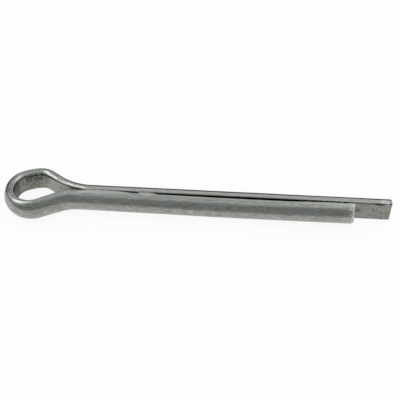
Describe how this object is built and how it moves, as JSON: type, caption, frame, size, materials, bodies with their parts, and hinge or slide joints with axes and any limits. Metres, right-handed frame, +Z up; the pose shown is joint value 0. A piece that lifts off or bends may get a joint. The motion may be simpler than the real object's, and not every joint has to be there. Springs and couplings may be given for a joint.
{
  "type": "split pin",
  "caption": "Split pin of folded half-round wire, with an eye at one end and two legs of unequal length that are bent over to lock a cross-drilled bolt or clevis pin.",
  "frame": {"origin": "on the shank's axis, where the long leg starts to bend into the eye", "axes": "+X along the legs towards their tips, Y across the eye with the long leg on the +Y side, +Z up across the wire; the pin lies flat with the eye in the XY plane"},
  "size_m": [0.0564, 0.0084, 0.0039],
  "materials": {
    "plated_steel": "dull bright-zinc plating over drawn steel wire, with fine lengthwise streaks"
  },
  "bodies": {
    "root": {"split_pin": "plated_steel"}
  },
  "joints": []
}
